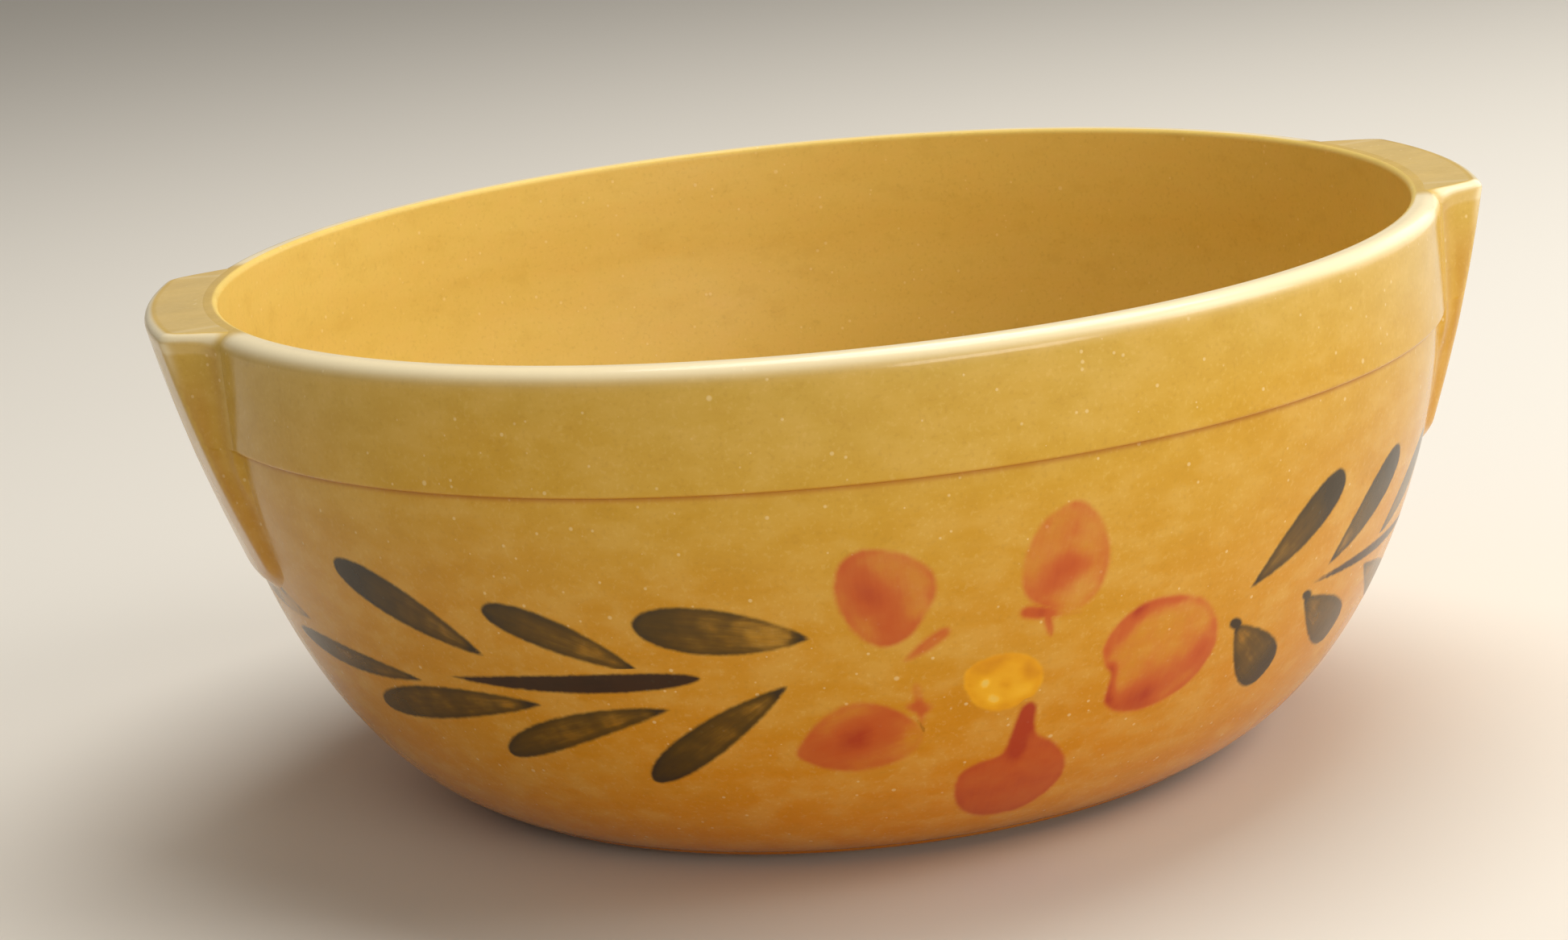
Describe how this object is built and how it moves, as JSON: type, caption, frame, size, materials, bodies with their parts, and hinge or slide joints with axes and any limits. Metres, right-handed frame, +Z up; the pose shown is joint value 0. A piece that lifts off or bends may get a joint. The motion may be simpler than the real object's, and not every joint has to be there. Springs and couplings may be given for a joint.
{
  "type": "mixing bowl",
  "caption": "Round stoneware mixing bowl with a thick rim collar, rounded lip, two solid lug handles, a turned foot ring and a brushed flower and leaf pattern under amber glaze.",
  "frame": {"origin": "centre of the foot ring's underside, where the bowl meets the table", "axes": "+Z up along the bowl's axis, +X towards the right handle, -Y towards the front face of the pattern"},
  "size_m": [0.3296, 0.308, 0.13],
  "materials": {
    "amber_glaze": "glossy amber glaze with fine pale flecks",
    "rim_glaze": "glossy amber glaze, breaking pale yellow on the edges",
    "bare_clay": "unglazed buff stoneware",
    "petal_colour": "orange-red brushed colour under the glaze",
    "centre_colour": "yellow dabbed colour under the glaze",
    "leaf_colour": "olive-brown brushed colour under the glaze",
    "stem_colour": "dark brown brushed colour under the glaze"
  },
  "bodies": {
    "root": {"bowl_body": "amber_glaze", "rim_collar": "rim_glaze", "foot_ring": "bare_clay", "left_handle": "rim_glaze", "right_handle": "rim_glaze", "flower_petals": "petal_colour", "flower_centres": "centre_colour", "left_spray_leaves": "leaf_colour", "left_spray_stems": "stem_colour", "right_spray_leaves": "leaf_colour", "right_spray_stems": "stem_colour"}
  },
  "joints": []
}
